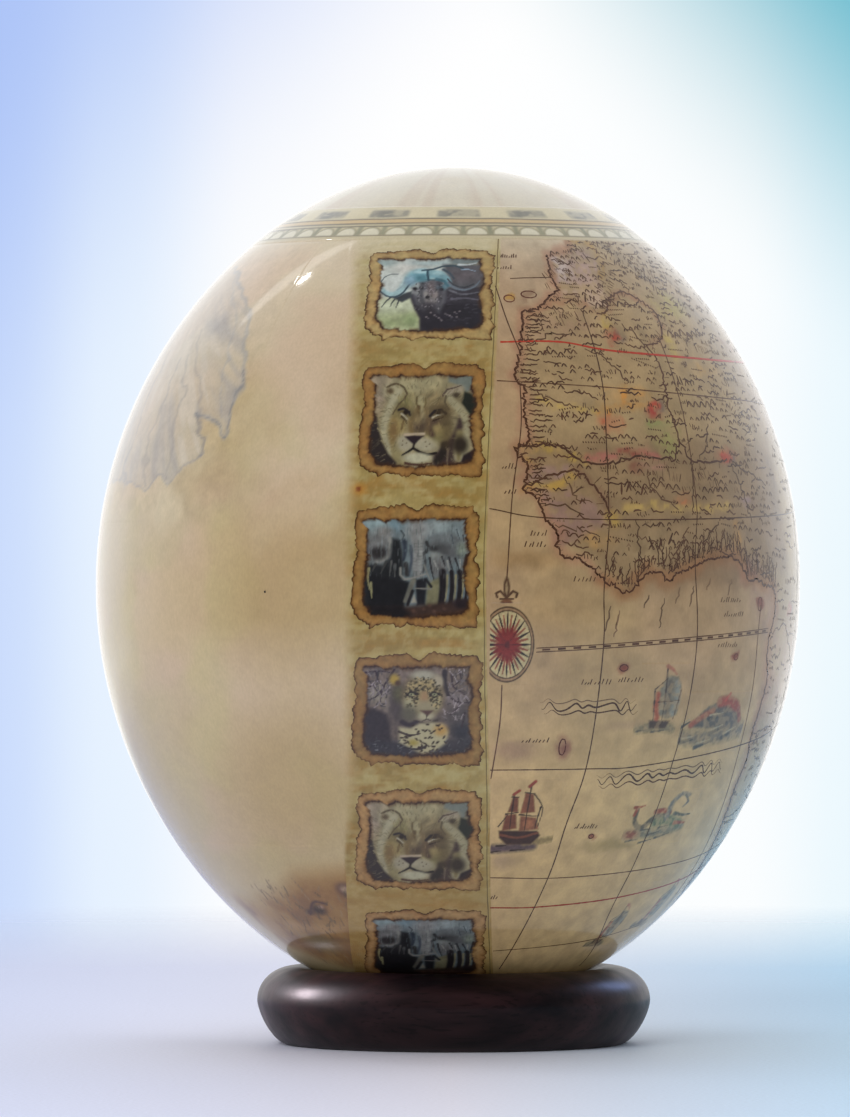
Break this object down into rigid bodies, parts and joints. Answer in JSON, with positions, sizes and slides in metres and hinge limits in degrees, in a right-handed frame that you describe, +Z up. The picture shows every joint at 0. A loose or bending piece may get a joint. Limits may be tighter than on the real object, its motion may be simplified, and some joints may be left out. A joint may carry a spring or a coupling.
{
  "type": "decorated ostrich egg on a ring stand",
  "caption": "Varnished ostrich egg covered with a paper decoration of African animal pictures and an old-style map, standing on end in a turned ring of dark wood.",
  "frame": {"origin": "middle of the object's footprint box, on the surface that the ring stand's foot rests on", "axes": "+Z up along the egg's long axis, -Y towards the viewer of the strip of animal pictures, +X towards the map"},
  "size_m": [0.1308, 0.1308, 0.163],
  "materials": {
    "decorated_shell": "ostrich shell covered with printed paper under clear gloss varnish",
    "dark_wood": "turned hardwood stained near-black brown, satin varnish"
  },
  "bodies": {
    "root": {"egg": "decorated_shell", "ring_stand": "dark_wood"}
  },
  "joints": []
}
